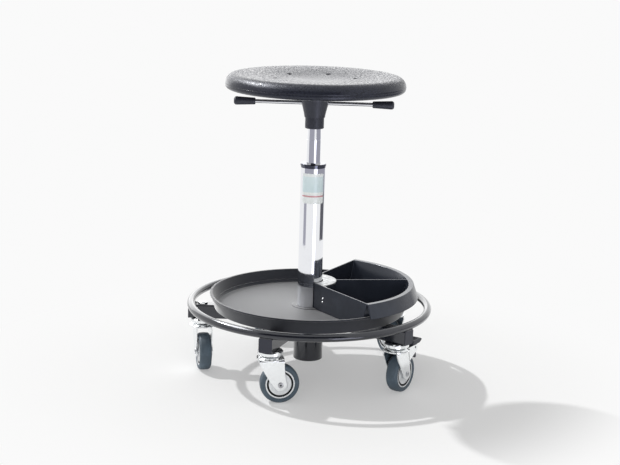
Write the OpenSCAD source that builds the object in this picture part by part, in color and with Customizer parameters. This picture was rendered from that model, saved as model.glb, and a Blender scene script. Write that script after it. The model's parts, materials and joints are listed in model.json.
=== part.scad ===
/* [Castors and legs] */
// Height from the floor to the underside of the legs
castor_h = 106; // [104:1:120]
// Diameter of the castor wheels over their tyres
wheel_d = 77; // [70:1:80]
// Width of the tyres
wheel_w = 25; // [20:1:26]
// Distance from a castor's swivel axis to its wheel axle
trail = 19; // [16:1:30]
// Width of the rectangular leg tubes
leg_w = 27; // [24:1:34]
// Height of the rectangular leg tubes
leg_h = 29; // [25:1:36]
// Wall of the leg tubes
leg_wall = 2; // [1.5:0.5:3]
// Distance from the end of a leg back to its castor's swivel axis
castor_inset = 27; // [27:1:40]

/* [Foot ring and hub] */
// Outside diameter of the foot ring
ring_d = 500; // [480:1:560]
// Diameter of the foot ring's tube
ring_tube_d = 16; // [12:1:20]
// How deep the foot ring sits in the saddles of the legs
saddle_depth = 1; // [0.5:0.5:2]
// Outside diameter of the hub tube that the legs are welded to
hub_d = 60; // [56:1:66]
// How far the hub tube hangs below the legs
hub_drop = 79; // [70:1:90]

/* [Tray and tool box] */
// Free space between the tray's lip and the foot ring
tray_ring_gap = 30; // [25:1:40]
// Height of the tray from its underside to its lip
tray_h = 30; // [24:1:40]
// Thickness of the tray's floor
tray_floor_t = 4; // [3:0.5:5]
// Width of the tray's lip seen from above
tray_lip_w = 4.5; // [4:0.5:6]
// How far the tray's wall leans out between floor and lip
tray_lean = 7.5; // [5:0.5:10]
// Height of the tool box above the tray's floor
box_h = 54; // [45:1:70]
// Wall of the tool box
box_wall = 3; // [2:0.5:4]
// Angle between the two side walls of the tool box
box_sweep = 116; // [90:1:130]
// Direction of the tool box's middle, from the X axis
box_turn = 4; // [-20:1:20]
// Direction of the tool box's divider, from the X axis
divider_turn = 8; // [-20:1:20]
// Radius of the metal corner plate round the column
plate_r = 54; // [48:1:60]

/* [Column] */
// Outside diameter of the chromed column tube
column_d = 50; // [46:1:50]
// Wall of the column tube
column_wall = 1.5; // [1:0.5:2]
// Length of the column tube
column_l = 365; // [350:1:400]
// Height of the cap ring on the column tube
cap_h = 8; // [6:1:12]
// Diameter of the gas cylinder
cylinder_d = 28; // [27:1:28]
// Length of the gas cylinder
cylinder_l = 333; // [320:1:340]
// Diameter of the piston rod
rod_d = 10; // [8:0.5:12]
// Length of gas cylinder that shows between cap and collar
lift_gap = 71; // [60:1:90]

/* [Seat] */
// Outside diameter of the seat cushion
seat_d = 360; // [320:1:400]
// Height of the cushion from its underside to its rim
seat_t = 30; // [28:1:40]
// Depth of the dish in the middle of the cushion
seat_dish = 14; // [4:1:14]
// Radius of the cushion's rolled top edge
seat_roll = 20; // [16:0.5:22]
// Distance from the middle to each moulded vent hole
vent_ring_r = 81; // [75:1:100]
// Diameter of the moulded vent holes
vent_d = 9; // [4:0.5:10]
// Thickness of the board inside the cushion
board_t = 10; // [8:0.5:12]
// Width of the square seat plate
plate_w = 150; // [130:1:170]

/* [Levers] */
// Distance from the column's axis to the outer end of the left grip
lever_reach_left = 162; // [150:0.5:165]
// Distance from the column's axis to the outer end of the right grip
lever_reach_right = 157.5; // [150:0.5:165]
// Diameter of the lever rods
lever_d = 8; // [7:0.5:8]
// Length of the grips
grip_l = 43; // [35:1:50]
// Diameter of the grips at their outer end
grip_d = 17; // [13:0.5:18]

/* [Hidden] */
$fn = 96;

// Overrun of a cut past the face that it opens
over = 1;
// Free gap between loose neighbours that turn or slide past each other
gap = 0.3;
// Radial clearance of a running fit
run = 0.05;

// The five legs stand 72 degrees apart, the first along -X
LEGS = [0, 1, 2, 3, 4];
leg_step = 72;
leg_first = 180;
// Direction in which each castor trails, seen from above
castor_turns = [284, 12, 58, 114, 200];
// The castor that carries the brake
BRAKED = 2;

// Heights from the floor up
leg_low = castor_h;
leg_top = leg_low + leg_h;
ring_r = (ring_d - ring_tube_d) / 2;
ring_z = leg_top - saddle_depth + ring_tube_d / 2;
// How far a leg's end stands out past the middle of the foot ring
leg_past_ring = 4;
leg_reach = ring_r + leg_past_ring;
swivel_r = leg_reach - castor_inset;
hub_low = leg_low - hub_drop;
tray_low = leg_top;
tray_deck = tray_low + tray_floor_t;
tray_rim = tray_low + tray_h;
box_top = tray_deck + box_h;
// Height of the column tube's foot above the hub tube's lower end
column_foot_rise = 35;
column_low = hub_low + column_foot_rise;
column_top = column_low + column_l;
cap_top = column_top + cap_h;

// Corner radius of the leg tubes, and the parts of their end plugs
leg_corner = 3;
plug_t = 2;
plug_body_l = 14;
// Bevel at the ends of the hub tube
hub_bevel = 1.2;
column_r = column_d / 2;

// Tray: its hole, boss, ledge, lip and fillet
tray_hole_gap = 0.4;
tray_boss_r = 36;
tray_boss_h = 1.2;
tray_lip_h = 3.5;
tray_lip_out = 1.5;
tray_ledge_h = 6;
tray_ledge_w = 1.5;
tray_fillet = 3;
tray_r = ring_r - ring_tube_d / 2 - tray_ring_gap;
tray_wall_r = tray_r - tray_lip_out;
tray_base_r = tray_wall_r - tray_lean;
tray_in_r = tray_r - tray_lip_w;

// Tool box: its rim, skirt, foot and the gap round the column
box_rim_w = 10;
box_rim_out = 8;
box_skirt_out = 10;
box_foot_in = 18;
box_foot_gap = 1.5;
box_side_out = 8;
box_column_gap = 2;
box_rim_r = tray_r + box_rim_out;
box_skirt_r = box_rim_r + box_skirt_out;
box_foot_r = tray_r - box_foot_in;
box_hub_r = column_r + box_column_gap;
corner_plate_t = 2.5;
// Flanges of the corner plate, riveted to the side walls
flange_t = 1.5;
flange_near = 23;
flange_w = 16;
flange_h = 42;
rivet_r = 1.6;
rivet_head_r = 2.4;
rivet_head_t = 0.8;
rivet_drop = 26;
rivet_step = 7;
rivet_x = box_hub_r + flange_near + flange_w / 2;

// Inside the column: floor, bearing, sleeve and clip
column_floor_t = 3;
bearing_r = 13;
bearing_h = 8;
bearing_groove = 1.5;
sleeve_l = 80;
clip_r = 9;
clip_t = 1.5;
clip_groove = 0.8;
clip_open = 60;
clip_drop = 1;
rod_tail = 8;
rod_collar_r = 9;
rod_collar_h = 4;
cap_lip = 1;
cap_neck_h = 3.5;
cap_bevel = 1;
rod_r = rod_d / 2;
column_floor = column_low + column_floor_t;
bearing_top = column_floor + bearing_h;
rod_low = column_low - rod_tail;
clip_top = column_low - clip_drop;

// Gas cylinder: its wall, plug, taper and head
cylinder_wall = 2;
cylinder_plug = 8;
taper_in = 1.35;
head_t = 8;
socket_depth = 32;
taper_l = 54;
scribe_w = 1.2;
scribe_depth = 0.4;
cylinder_r = cylinder_d / 2;
cylinder_in_r = cylinder_r - cylinder_wall;
collar_low = cap_top + lift_gap;
cylinder_top = collar_low + socket_depth;
cylinder_low = cylinder_top - cylinder_l;
// Piston on the rod's upper end: fit, height, seal groove and place at full lift
piston_h = 12;
piston_seal_h = 3;
piston_seal_in = 1;
// Highest lift of the seat above the height at which it is drawn
lift_up = 132;
piston_low = cylinder_low + lift_up + cylinder_plug + over;

// Release pin in the cylinder's head
pin_r = 3;
pin_rise = 3.5;
pin_flange_r = 5;
pin_flange_t = 2;
pin_slack = 4;
pusher_low = cylinder_top + pin_rise;

// Seat plate: socket, barrel with its slot, flare and square plate
socket_wall = 3.2;
socket_inset = 2;
barrel_r = 19.5;
barrel_step = 3;
flare_r = 30;
flare_h = 14;
plate_t = 2.5;
plate_corner = 12;
plate_hole_r = 4.2;
plate_hole_inset = 15;
plate_hole_x = plate_w / 2 - plate_hole_inset;
// Height of the levers' axis above the gas cylinder, and of the seat above it
lever_rise = 18.5;
seat_rise = 26.5;
slot_w = 9;
slot_floor = 2;
slot_rise = 9.5;
lever_z = cylinder_top + lever_rise;
seat_low = lever_z + seat_rise;
plate_low = seat_low - plate_t;
socket_r = cylinder_r + socket_wall;

// Lever pivots, tongues and the block that they push
pivot_x = 15;
pivot_r = 2;
pivot_l = 24;
tongue_r = 2.5;
tongue_from = 4;
tongue_to = 10.5;
block_l = 15;
block_rise = 5.9;
window_slack = 0.5;
lever_r = lever_d / 2;
grip_neck_share = 0.8;
grip_bevel = 1.6;
grip_round = 5;
grip_bore_l = 30;

// Covers round the mechanism
collar_h = 22;
collar_wall = 1.8;
collar_bevel = 0.8;
cone_wall = 2;
cone_lip = 1.5;
cone_flare = 13.5;
cone_power = 1.2;
cone_steps = 14;
cone_top_gap = 0.5;
cone_slot_h = 11.5;
cone_slot_low = 4.5;
collar_r = socket_r + collar_wall;
cone_low = collar_low + collar_h;
cone_h = plate_low - cone_top_gap - cone_low;
cone_r = collar_r + cone_lip;

// Cushion: lower edge, dish, vents and the board in its recess
seat_r = seat_d / 2;
seat_under_roll = 9;
seat_steps = 12;
board_edge = 30;
board_r = seat_r - board_edge;
vent_floor = 4;
vent_count = 6;
vent_turn = 43;
screw_r = 4;
screw_head_r = 6.5;
screw_head_h = 5.3;

// Castor: heights of its parts and the shapes of its fork
wheel_r = wheel_d / 2;
fork_gap = 2;
fork_t = 2.5;
crown_r = 26.5;
crown_rise = 11.5;
crown_low = wheel_d + crown_rise;
crown_top = crown_low + fork_t;
race_r = 24;
race_top_r = 19;
race_h = 5.5;
head_r = 25;
head_h = 9;
head_skirt_h = 3.5;
head_skirt_t = 2.5;
sleeve_r = 9;
bolt_r = 6;
bolt_head_r = 12;
bolt_head_h = 3.5;
bolt_nut_r = 10;
bolt_nut_h = 3;
bolt_tail = 1;
fork_front = 23;
fork_back = 26;
fork_shoulder = 6;
fork_cheek_drop = 6;
fork_chin_x = 5;
fork_chin_rise = 9;
fork_nape_x = 27;
fork_nape_rise = 16;
fork_tip_r = 12.5;
tip_from = 215;
tip_to = 375;
tip_steps = 10;
bend_steps = 6;
shoulder_steps = 4;
fork_in = wheel_w / 2 + fork_gap;
fork_out = fork_in + fork_t;

// Axle, rim and tyre
axle_r = 4;
axle_head_r = 5.5;
axle_head_t = 1.6;
axle_dimple_r = 2.2;
axle_dimple_t = 1;
tyre_t = 9.7;
tyre_shoulder = 5;
tyre_steps = 6;
rim_side_gap = 1;
rim_ring_w = 3;
rim_recess_w = 3.4;
rim_recess_depth = 3;
rim_disc_in = 0.4;
rim_boss_r = 6.7;
rim_boss_out = 1.2;
rim_r = wheel_r - tyre_t;
rim_half = wheel_w / 2 - rim_side_gap;

// Brake: lugs on the fork, pivot, pedal and shoe
lug_reach = 55;
lug_low_drop = 8.5;
lug_top_rise = 3.5;
brake_x = 47;
brake_drop = 1.5;
brake_pin_r = 2.5;
brake_hub_r = 5;
pedal_from = 35;
pedal_to = 70;
pedal_tip_from = 62;
pedal_w = 36;
pedal_t = 8;
pedal_rise = 1.5;
pedal_tip_low = 5;
pedal_tip_in = 2;
rib_count = 5;
rib_w = 2;
rib_h = 0.8;
rib_step = 5;
rib_inset = 4;
shoe_gap = 3.4;
shoe_t = 4;
shoe_from = 36;
shoe_to = 48;
shoe_steps = 6;
lug_top = crown_low + lug_top_rise;
brake_z = crown_low - brake_drop;
pedal_low = lug_top + pedal_rise;

BLACK = [0.09, 0.09, 0.10];
SOFT_BLACK = [0.13, 0.13, 0.15];
STEEL = [0.72, 0.73, 0.75];
ZINC = [0.82, 0.83, 0.85];
CHROME = [0.90, 0.90, 0.92];
RUBBER = [0.20, 0.23, 0.27];
GREY = [0.62, 0.64, 0.67];

function leg_turn(k) = leg_first + leg_step * k;
// Points along an arc about a middle, both ends included
function arc(mid, r, from, to, steps) =
  [for (i = [0 : steps]) let (a = from + (to - from) * i / steps) mid + r * [cos(a), sin(a)]];
// Points along a bend from a to c that b draws towards itself, both ends included
function bend(a, b, c, steps) =
  [for (i = [0 : steps]) let (t = i / steps) (1 - t) * (1 - t) * a + 2 * t * (1 - t) * b + t * t * c];
// Radius of the gas cylinder's tapered outside at a height
function taper_r(z) = cylinder_r - taper_in * max(0, z - (cylinder_top - taper_l)) / taper_l;
// Radius of the cone cover's outside at a share of its height
function cone_at(share) = cone_r + cone_flare * pow(share, cone_power);

module ring_of(r_in, r_out, low, high) {
  translate([0, 0, low])
    difference() {
      cylinder(h = high - low, r = r_out);
      translate([0, 0, -over])
        cylinder(h = high - low + 2 * over, r = r_in);
    }
}

module rounded_plate(w, d, corner) {
  square([w - 2 * corner, d], center = true);
  square([w, d - 2 * corner], center = true);
  for (x = [-1, 1], y = [-1, 1])
    translate([x * (w / 2 - corner), y * (d / 2 - corner)])
      circle(corner);
}

// A bar with the leg tubes' section, from one distance along X to another
module bar_x(from, to, w, h, corner) {
  translate([from, 0, leg_low + leg_h / 2])
    rotate([90, 0, 90])
      linear_extrude(to - from)
        rounded_plate(w, h, corner);
}

module on_leg(k) {
  rotate([0, 0, leg_turn(k)])
    children();
}

// Places a castor drawn with its swivel axis on Z and its wheel trailing along X
module on_castor(k) {
  on_leg(k)
    translate([swivel_r, 0, 0])
      rotate([0, 0, castor_turns[k] - leg_turn(k)])
        children();
}

// Turns something drawn about Z so that it lies about the wheel's axle
module on_axle() {
  translate([trail, 0, wheel_r])
    rotate([90, 0, 0])
      children();
}

module hub_tube() {
  color(BLACK)
    rotate_extrude()
      polygon([
        [column_r, hub_low],
        [hub_d / 2 - hub_bevel, hub_low],
        [hub_d / 2, hub_low + hub_bevel],
        [hub_d / 2, leg_top],
        [column_r, leg_top]
      ]);
}

module leg(k) {
  color(BLACK)
    on_leg(k)
      difference() {
        bar_x(0, leg_reach, leg_w, leg_h, leg_corner);
        bar_x(-over, leg_reach + over, leg_w - 2 * leg_wall, leg_h - 2 * leg_wall, leg_corner - leg_wall);
        translate([0, 0, leg_low - over])
          cylinder(h = leg_h + 2 * over, r = hub_d / 2);
        translate([swivel_r, 0, leg_low - over])
          cylinder(h = leg_h + 2 * over, r = bolt_r);
        ring_solid();
      }
}

module leg_plugs() {
  color(SOFT_BLACK)
    for (k = LEGS)
      on_leg(k) {
        bar_x(leg_reach, leg_reach + plug_t, leg_w, leg_h, leg_corner);
        bar_x(leg_reach - plug_body_l, leg_reach, leg_w - 2 * leg_wall, leg_h - 2 * leg_wall,
          leg_corner - leg_wall);
      }
}

module ring_solid() {
  translate([0, 0, ring_z])
    rotate_extrude()
      translate([ring_r, 0])
        circle(ring_tube_d / 2);
}

module foot_ring() {
  color(BLACK)
    ring_solid();
}

module tray() {
  color(BLACK)
    rotate_extrude()
      polygon(concat(
        [[column_r + tray_hole_gap, tray_low]],
        arc([tray_base_r - tray_fillet, tray_low + tray_fillet], tray_fillet, -90, 0, 4),
        [
          [tray_wall_r, tray_rim - tray_lip_h],
          [tray_r, tray_rim - tray_lip_h],
          [tray_r, tray_rim],
          [tray_in_r, tray_rim],
          [tray_base_r - tray_lip_w + tray_ledge_w, tray_deck + tray_ledge_h],
          [tray_base_r - tray_lip_w, tray_deck + tray_ledge_h],
          [tray_base_r - tray_lip_w - tray_ledge_w, tray_deck + tray_ledge_w],
          [tray_base_r - tray_lip_w - 2 * tray_ledge_w, tray_deck],
          [tray_boss_r, tray_deck],
          [tray_boss_r - tray_boss_h, tray_deck + tray_boss_h],
          [column_r + tray_hole_gap, tray_deck + tray_boss_h]
        ]
      ));
}

// A wedge about the tool box's middle, its two sides moved out from the column's axis
module box_wedge(side_out, low, high) {
  far = 2 * box_skirt_r;
  apex = -side_out / sin(box_sweep / 2);
  rotate([0, 0, box_turn])
    translate([apex, 0, low])
      linear_extrude(high - low)
        polygon([
          [0, 0],
          far * [cos(-box_sweep / 2), sin(-box_sweep / 2)],
          [far, far * sin(-box_sweep / 2)],
          [far, far * sin(box_sweep / 2)],
          far * [cos(box_sweep / 2), sin(box_sweep / 2)]
        ]);
}

// Outer wall of the tool box, with its rim and the skirt that hangs over the tray's lip
module box_band() {
  rotate_extrude()
    polygon([
      [box_foot_r, tray_deck],
      [tray_in_r - box_foot_gap, tray_rim],
      [box_rim_r - box_rim_w + box_wall, box_top - box_wall],
      [box_rim_r - box_wall, box_top - box_wall],
      [box_skirt_r - box_wall, tray_rim],
      [box_skirt_r, tray_rim],
      [box_rim_r, box_top],
      [box_rim_r - box_rim_w, box_top],
      [box_foot_r - box_wall, tray_deck]
    ]);
}

// Everything inside the tool box's outer wall
module box_inside() {
  rotate_extrude()
    polygon([
      [0, tray_deck],
      [box_foot_r - box_wall, tray_deck],
      [box_rim_r - box_rim_w, box_top],
      [0, box_top]
    ]);
}

module box_divider() {
  rotate([0, 0, divider_turn])
    translate([plate_r - box_wall, -box_wall / 2, tray_deck])
      cube([box_rim_r - plate_r, box_wall, box_h]);
}

module tool_box() {
  color(BLACK)
    difference() {
      union() {
        intersection() {
          box_band();
          box_wedge(box_side_out, tray_deck, box_top);
        }
        intersection() {
          box_inside();
          box_wedge(box_side_out, tray_deck, box_top);
          union() {
            ring_of(0, box_skirt_r, tray_deck, tray_deck + box_wall);
            ring_of(plate_r - box_wall, plate_r, tray_deck, box_top - corner_plate_t);
            box_divider();
            difference() {
              ring_of(0, box_skirt_r, tray_deck, box_top);
              box_wedge(box_side_out - box_wall, tray_deck - over, box_top + over);
            }
          }
        }
      }
      translate([0, 0, tray_deck - over])
        cylinder(h = box_h + 2 * over, r = box_hub_r);
      translate([0, 0, tray_deck - over])
        cylinder(h = tray_boss_h + gap + over, r = tray_boss_r + gap);
      plate_body();
      rivet_shanks(rivet_r);
    }
}

// The corner plate and its two flanges, all cut to the inside of the side walls
module plate_body() {
  intersection() {
    box_wedge(box_side_out - box_wall, box_top - flange_h, box_top);
    union() {
      ring_of(box_hub_r, plate_r, box_top - corner_plate_t, box_top);
      for (s = [-1, 1])
        on_box_side(s)
          translate([box_hub_r + flange_near, box_side_out - box_wall - flange_t, box_top - flange_h])
            cube([flange_w, flange_t + over, flange_h]);
    }
  }
}

// Draws along a side wall: X runs outward along the wall, Y points out of the box
module on_box_side(s) {
  rotate([0, 0, box_turn + s * box_sweep / 2])
    mirror([0, s < 0 ? 1 : 0, 0])
      children();
}

module rivet_shanks(r) {
  for (s = [-1, 1], i = [0, 1])
    on_box_side(s)
      translate([rivet_x, box_side_out, box_top - rivet_drop - i * rivet_step])
        rotate([90, 0, 0])
          cylinder(h = box_wall, r = r);
}

module corner_plate() {
  color(ZINC)
    difference() {
      plate_body();
      for (s = [-1, 1], i = [0, 1])
        on_box_side(s)
          translate([rivet_x, box_side_out, box_top - rivet_drop - i * rivet_step])
            rotate([90, 0, 0])
              cylinder(h = box_wall + flange_t + over, r = rivet_r);
    }
}

module plate_rivets() {
  color(ZINC)
    for (s = [-1, 1], i = [0, 1])
      on_box_side(s)
        translate([rivet_x, box_side_out, box_top - rivet_drop - i * rivet_step])
          rotate([90, 0, 0])
            union() {
              cylinder(h = box_wall + flange_t, r = rivet_r);
              translate([0, 0, -rivet_head_t])
                cylinder(h = rivet_head_t, r1 = rivet_r, r2 = rivet_head_r);
              translate([0, 0, box_wall + flange_t])
                cylinder(h = rivet_head_t, r = rivet_head_r);
            }
}

module column_tube() {
  color(CHROME)
    rotate_extrude()
      polygon([
        [rod_r + run, column_low],
        [column_r, column_low],
        [column_r, column_top],
        [column_r - column_wall, column_top],
        [column_r - column_wall, column_floor],
        [rod_r + run, column_floor]
      ]);
}

module column_cap() {
  color(CHROME)
    rotate_extrude()
      polygon([
        [cylinder_r + gap, column_top],
        [column_r, column_top],
        [column_r, column_top + cap_neck_h],
        [column_r + cap_lip, column_top + cap_neck_h],
        [column_r + cap_lip, cap_top - cap_bevel],
        [column_r + cap_lip - cap_bevel, cap_top],
        [cylinder_r + gap, cap_top]
      ]);
}

module guide_sleeve() {
  color(GREY)
    ring_of(cylinder_r + run, column_r - column_wall, column_top - sleeve_l, column_top);
}

module thrust_bearing() {
  color(STEEL)
    rotate_extrude()
      polygon([
        [rod_r + run, column_floor],
        [bearing_r, column_floor],
        [bearing_r, column_floor + bearing_h / 4],
        [bearing_r - bearing_groove, column_floor + bearing_h / 4],
        [bearing_r - bearing_groove, bearing_top - bearing_h / 4],
        [bearing_r, bearing_top - bearing_h / 4],
        [bearing_r, bearing_top],
        [rod_r + run, bearing_top]
      ]);
}

module piston_rod() {
  piston_r = cylinder_in_r - run;
  seal_mid = piston_low + piston_h / 2;
  color(STEEL)
    rotate_extrude()
      polygon([
        [0, rod_low],
        [rod_r, rod_low],
        [rod_r, clip_top - clip_t],
        [rod_r - clip_groove, clip_top - clip_t],
        [rod_r - clip_groove, clip_top],
        [rod_r, clip_top],
        [rod_r, bearing_top + gap],
        [rod_collar_r, bearing_top + gap],
        [rod_collar_r, bearing_top + gap + rod_collar_h],
        [rod_r, bearing_top + gap + rod_collar_h],
        [rod_r, piston_low],
        [piston_r, piston_low],
        [piston_r, seal_mid - piston_seal_h / 2],
        [piston_r - piston_seal_in, seal_mid - piston_seal_h / 2],
        [piston_r - piston_seal_in, seal_mid + piston_seal_h / 2],
        [piston_r, seal_mid + piston_seal_h / 2],
        [piston_r, piston_low + piston_h],
        [0, piston_low + piston_h]
      ]);
}

module retaining_clip() {
  color(STEEL)
    translate([0, 0, clip_top - clip_t])
      rotate([0, 0, clip_open / 2])
        rotate_extrude(angle = 360 - clip_open)
          translate([rod_r - clip_groove, 0])
            square([clip_r - rod_r + clip_groove, clip_t]);
}

module gas_cylinder() {
  narrow = cylinder_in_r - taper_in;
  taper_low = cylinder_top - taper_l;
  color(CHROME)
    rotate_extrude()
      polygon([
        [rod_r + run, cylinder_low],
        [cylinder_r, cylinder_low],
        [cylinder_r, taper_low - scribe_w],
        [cylinder_r - scribe_depth, taper_low - scribe_w],
        [cylinder_r - scribe_depth, taper_low],
        [cylinder_r, taper_low],
        [taper_r(cylinder_top), cylinder_top],
        [pin_r + run, cylinder_top],
        [pin_r + run, cylinder_top - head_t],
        [narrow, cylinder_top - head_t],
        [narrow, taper_low],
        [cylinder_in_r, taper_low],
        [cylinder_in_r, cylinder_low + cylinder_plug],
        [rod_r + run, cylinder_low + cylinder_plug]
      ]);
}

module release_pin() {
  flange_top = cylinder_top - head_t - pin_slack;
  color(STEEL)
    rotate_extrude()
      polygon([
        [0, flange_top - pin_flange_t],
        [pin_flange_r, flange_top - pin_flange_t],
        [pin_flange_r, flange_top],
        [pin_r, flange_top],
        [pin_r, pusher_low],
        [0, pusher_low]
      ]);
}

module seat_plate() {
  socket_low = collar_low + socket_inset;
  shoulder = cylinder_top + slot_floor;
  color(SOFT_BLACK)
    difference() {
      union() {
        rotate_extrude()
          polygon([
            [0, socket_low],
            [socket_r, socket_low],
            [socket_r, cylinder_top - barrel_step],
            [barrel_r, cylinder_top + barrel_step],
            [barrel_r, plate_low - flare_h],
            [flare_r, plate_low],
            [0, plate_low]
          ]);
        translate([0, 0, plate_low])
          linear_extrude(plate_t)
            rounded_plate(plate_w, plate_w, plate_corner);
      }
      rotate_extrude()
        polygon([
          [0, socket_low - over],
          [taper_r(socket_low) + run, socket_low - over],
          [taper_r(socket_low) + run, socket_low],
          [taper_r(cylinder_top) + run, cylinder_top],
          [0, cylinder_top]
        ]);
      translate([0, 0, cylinder_top - over])
        cylinder(h = slot_floor + 2 * over, r = pin_r + gap);
      translate([-flare_r, -slot_w / 2, shoulder])
        cube([2 * flare_r, slot_w, lever_z + slot_rise - shoulder]);
      pivot_pins();
      for (x = [-1, 1], y = [-1, 1])
        translate([x * plate_hole_x, y * plate_hole_x, plate_low - over])
          cylinder(h = plate_t + 2 * over, r = plate_hole_r);
    }
}

module pivot_pins() {
  for (x = [-1, 1])
    translate([x * pivot_x, pivot_l / 2, lever_z])
      rotate([90, 0, 0])
        cylinder(h = pivot_l, r = pivot_r);
}

module lever_pins() {
  color(STEEL)
    pivot_pins();
}

module pusher_block() {
  window = tongue_r + window_slack;
  color(GREY)
    difference() {
      translate([-block_l / 2, -slot_w / 2 + gap, pusher_low])
        cube([block_l, slot_w - 2 * gap, lever_z + block_rise - pusher_low]);
      translate([-block_l / 2 - over, -window, lever_z - window])
        cube([block_l + 2 * over, 2 * window, 2 * window]);
    }
}

// A lever drawn along +X, from its tongue in the block to its end in the grip
module lever_body(reach) {
  rod_to = reach - grip_l + grip_bore_l;
  difference() {
    translate([0, 0, lever_z])
      rotate([0, 90, 0])
        rotate_extrude()
          polygon([
            [0, tongue_from],
            [tongue_r, tongue_from],
            [tongue_r, tongue_to],
            [lever_r, tongue_to],
            [lever_r, rod_to],
            [0, rod_to]
          ]);
    translate([pivot_x, pivot_l / 2, lever_z])
      rotate([90, 0, 0])
        cylinder(h = pivot_l, r = pivot_r + run);
  }
}

module grip_body(reach) {
  neck = grip_d / 2 * grip_neck_share;
  translate([0, 0, lever_z])
    rotate([0, 90, 0])
      rotate_extrude()
        polygon(concat(
          [
            [lever_r, reach - grip_l],
            [neck - grip_bevel / 2, reach - grip_l],
            [neck, reach - grip_l + grip_bevel]
          ],
          arc([grip_d / 2 - grip_round, reach - grip_round], grip_round, 0, 90, 5),
          [
            [0, reach],
            [0, reach - grip_l + grip_bore_l],
            [lever_r, reach - grip_l + grip_bore_l]
          ]
        ));
}

module lever_right() {
  color(CHROME)
    lever_body(lever_reach_right);
}

module lever_left() {
  color(CHROME)
    mirror([1, 0, 0])
      lever_body(lever_reach_left);
}

module grip_right() {
  color(BLACK)
    grip_body(lever_reach_right);
}

module grip_left() {
  color(BLACK)
    mirror([1, 0, 0])
      grip_body(lever_reach_left);
}

module cone_cover() {
  shares = [for (i = [0 : cone_steps]) i / cone_steps];
  outside = [for (s = shares) [cone_at(s), cone_low + cone_h * s]];
  inside = [for (s = shares) [cone_at(1 - s) - cone_wall, cone_low + cone_h * (1 - s)]];
  color(SOFT_BLACK)
    difference() {
      rotate_extrude()
        polygon(concat(outside, inside));
      translate([-cone_r - cone_flare, -slot_w / 2, lever_z - cone_slot_low])
        cube([2 * (cone_r + cone_flare), slot_w, cone_slot_h]);
    }
}

module collar() {
  color(BLACK)
    rotate_extrude()
      polygon([
        [cylinder_r + gap, collar_low],
        [collar_r - collar_bevel, collar_low],
        [collar_r, collar_low + collar_bevel],
        [collar_r, cone_low],
        [socket_r, cone_low],
        [socket_r, collar_low + socket_inset],
        [cylinder_r + gap, collar_low + socket_inset]
      ]);
}

module seat_board() {
  color(GREY)
    difference() {
      translate([0, 0, seat_low])
        cylinder(h = board_t, r = board_r);
      screw_shanks();
    }
}

module screw_shanks() {
  for (x = [-1, 1], y = [-1, 1])
    translate([x * plate_hole_x, y * plate_hole_x, seat_low - over])
      cylinder(h = board_t + 2 * over, r = screw_r);
}

module seat_screws() {
  color(STEEL)
    for (x = [-1, 1], y = [-1, 1])
      translate([x * plate_hole_x, y * plate_hole_x, plate_low]) {
        translate([0, 0, -screw_head_h])
          cylinder(h = screw_head_h, r = screw_head_r, $fn = 6);
        cylinder(h = plate_t + board_t, r = screw_r);
      }
}

// Outline of the cushion: dished top, rolled edge, drawn-in lower edge
module seat_cushion() {
  rim_z = seat_low + seat_t;
  vent_low = seat_low + board_t + vent_floor;
  roll_x = seat_r - seat_roll;
  dish = [for (i = [0 : seat_steps - 1])
    [roll_x * i / seat_steps, rim_z - seat_dish * (1 + cos(180 * i / seat_steps)) / 2]];
  edge = arc([roll_x, rim_z - seat_roll], seat_roll, 90, 0, 10);
  under = arc([seat_r - seat_under_roll, seat_low + seat_under_roll], seat_under_roll, 0, -90, 8);
  color(SOFT_BLACK)
    difference() {
      rotate_extrude()
        polygon(concat(
          dish,
          edge,
          under,
          [
            [board_r, seat_low],
            [board_r, seat_low + board_t],
            [0, seat_low + board_t]
          ]
        ));
      for (i = [0 : vent_count - 1])
        rotate([0, 0, vent_turn - 90 + 360 / vent_count * i])
          translate([vent_ring_r, 0, vent_low])
            cylinder(h = rim_z + over - vent_low, r = vent_d / 2);
    }
}

module castor_bolts() {
  low = crown_low - gap - bolt_head_h;
  color(STEEL)
    for (k = LEGS)
      on_leg(k)
        translate([swivel_r, 0, 0]) {
          translate([0, 0, low])
            cylinder(h = bolt_head_h, r = bolt_head_r);
          translate([0, 0, low])
            cylinder(h = leg_top + bolt_nut_h + bolt_tail - low, r = bolt_r);
          translate([0, 0, leg_top])
            cylinder(h = bolt_nut_h, r = bolt_nut_r, $fn = 6);
        }
}

// Fixed half of the swivel: sleeve round the bolt and the upper race over the balls
module castor_head(k) {
  low = crown_low - gap;
  color(ZINC)
    on_castor(k)
      rotate_extrude()
        polygon([
          [bolt_r, low],
          [sleeve_r, low],
          [sleeve_r, leg_low - head_h / 2],
          [head_r - head_skirt_t, leg_low - head_h / 2],
          [head_r - head_skirt_t, leg_low - head_h / 2 - head_skirt_h],
          [head_r, leg_low - head_h / 2 - head_skirt_h],
          [head_r, leg_low - head_h / 4],
          [head_r - head_h / 4, leg_low],
          [bolt_r, leg_low]
        ]);
}

// Outline of the fork from the side: wide at the crown, drawn in and swept back to a round tip at the axle
module fork_outline() {
  tip = [trail, wheel_r];
  cheek = crown_low - fork_cheek_drop;
  polygon(concat(
    [[-fork_front, crown_top]],
    bend([-fork_front, cheek], [-fork_chin_x, wheel_r + fork_chin_rise],
      tip + fork_tip_r * [cos(tip_from), sin(tip_from)], bend_steps),
    arc(tip, fork_tip_r, tip_from, tip_to, tip_steps),
    bend(tip + fork_tip_r * [cos(tip_to), sin(tip_to)], [fork_nape_x, wheel_r + fork_nape_rise],
      [fork_back, cheek], bend_steps),
    [[fork_back, crown_top]]
  ));
}

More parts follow.
